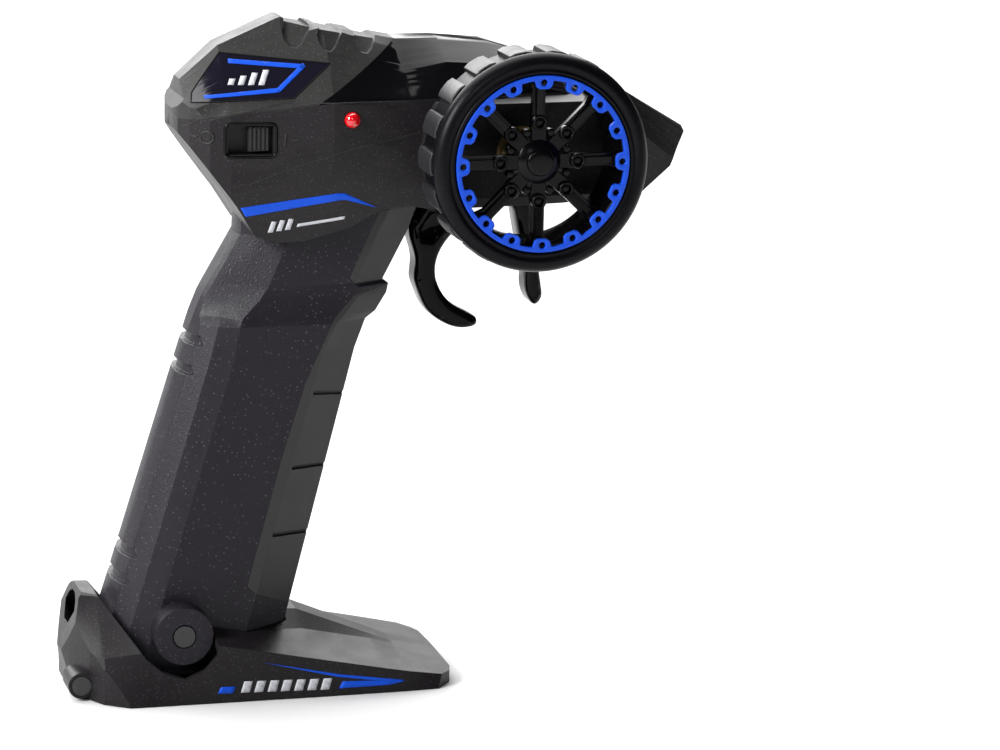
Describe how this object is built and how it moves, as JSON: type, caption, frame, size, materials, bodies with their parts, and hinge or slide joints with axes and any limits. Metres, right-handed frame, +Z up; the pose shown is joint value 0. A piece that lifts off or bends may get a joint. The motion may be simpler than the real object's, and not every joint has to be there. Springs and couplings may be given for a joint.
{
  "type": "radio transmitter controller",
  "caption": "Pistol-grip radio transmitter with a side steering wheel, a two-way trigger, a slide power switch and a battery handle standing on a wedge-shaped base.",
  "frame": {"origin": "underside of the base, in the parting plane of the housing, below the middle of the foot", "axes": "+X forward (towards the nose), +Y towards the holder's left, +Z up; the steering wheel is on the -Y side"},
  "size_m": [0.1669, 0.0781, 0.174],
  "materials": {
    "shell_black": "fine spark-eroded grain",
    "cover_black": "fine grain, slightly lighter",
    "grip_black": "coarse grain",
    "insert_grey": "smooth matte",
    "gloss_black": "high gloss",
    "badge_gloss": "high gloss",
    "lamp_red": "clear red diffusing",
    "tyre_rubber": "satin rubber",
    "rim_black": "satin gloss",
    "ring_blue": "satin paint",
    "knob_black": "satin",
    "bay_black": "matte",
    "board_green": "solder mask",
    "sensor_grey": "satin",
    "cell_jacket": "printed sleeve, plain",
    "lead_black": "satin",
    "steel": "plated",
    "bearing_brass": "sintered",
    "screw_black": "black oxide",
    "bolt_black": "moulded, satin"
  },
  "bodies": {
    "housing": {"head_shell_right": "shell_black", "head_shell_left": "shell_black", "top_cover": "cover_black", "bridge_cover": "gloss_black", "badge_panel_right": "badge_gloss", "badge_panel_left": "badge_gloss", "power_lamp": "lamp_red", "power_switch": "gloss_black", "main_board": "board_green", "radio_module": "steel", "antenna_lead": "lead_black", "wheel_bushing": "bearing_brass", "steering_sensor": "sensor_grey", "steering_spring": "steel", "throttle_sensor": "sensor_grey", "trigger_pin": "steel", "trigger_spring": "steel", "trim_sensor": "sensor_grey", "grip_shell_right": "grip_black", "grip_shell_left": "grip_black", "neck_front_cover": "insert_grey", "grip_front_cover": "insert_grey", "base_shell_right": "shell_black", "base_shell_left": "shell_black", "base_plate": "shell_black", "battery_bay": "bay_black", "battery_cells": "cell_jacket", "terminal_plates": "steel", "housing_screws": "screw_black", "knuckle_bolts": "bolt_black", "rear_bolt": "bolt_black"},
    "wheel": {"tyre": "tyre_rubber", "wheel_rim": "rim_black", "bead_ring": "ring_blue", "centre_cap": "rim_black", "wheel_screw": "screw_black", "wheel_shaft": "steel", "return_arm": "bay_black"},
    "trigger": {"trigger": "gloss_black"},
    "switch_knob": {"power_switch_knob": "knob_black"},
    "trim_dial": {"trim_dial": "knob_black"},
    "battery_door": {"battery_door": "shell_black", "bridge_contact": "steel", "contact_springs": "steel"}
  },
  "joints": [
    {"name": "steering", "type": "hinge", "parent": "housing", "child": "wheel", "pos_m": [0.0609, -0.04, 0.1414], "axis": [0, 1, 0], "range_deg": [-35, 35], "stiffness_Nm_per_rad": 0.05},
    {"name": "throttle", "type": "hinge", "parent": "housing", "child": "trigger", "pos_m": [0.05, 0, 0.131], "axis": [0, 1, 0], "range_deg": [-10, 14], "stiffness_Nm_per_rad": 0.08},
    {"name": "power_slide", "type": "slide", "parent": "housing", "child": "switch_knob", "axis": [1, 0, 0], "range_m": [-0.0044, 0]},
    {"name": "trim", "type": "hinge", "parent": "housing", "child": "trim_dial", "pos_m": [0.016, 0.02, 0.1435], "axis": [0, 1, 0], "range_deg": [-135, 135]},
    {"name": "door_hinge", "type": "hinge", "parent": "housing", "child": "battery_door", "pos_m": [-0.003, 0, 0.0025], "axis": [0, -1, 0], "range_deg": [0, 75]}
  ]
}
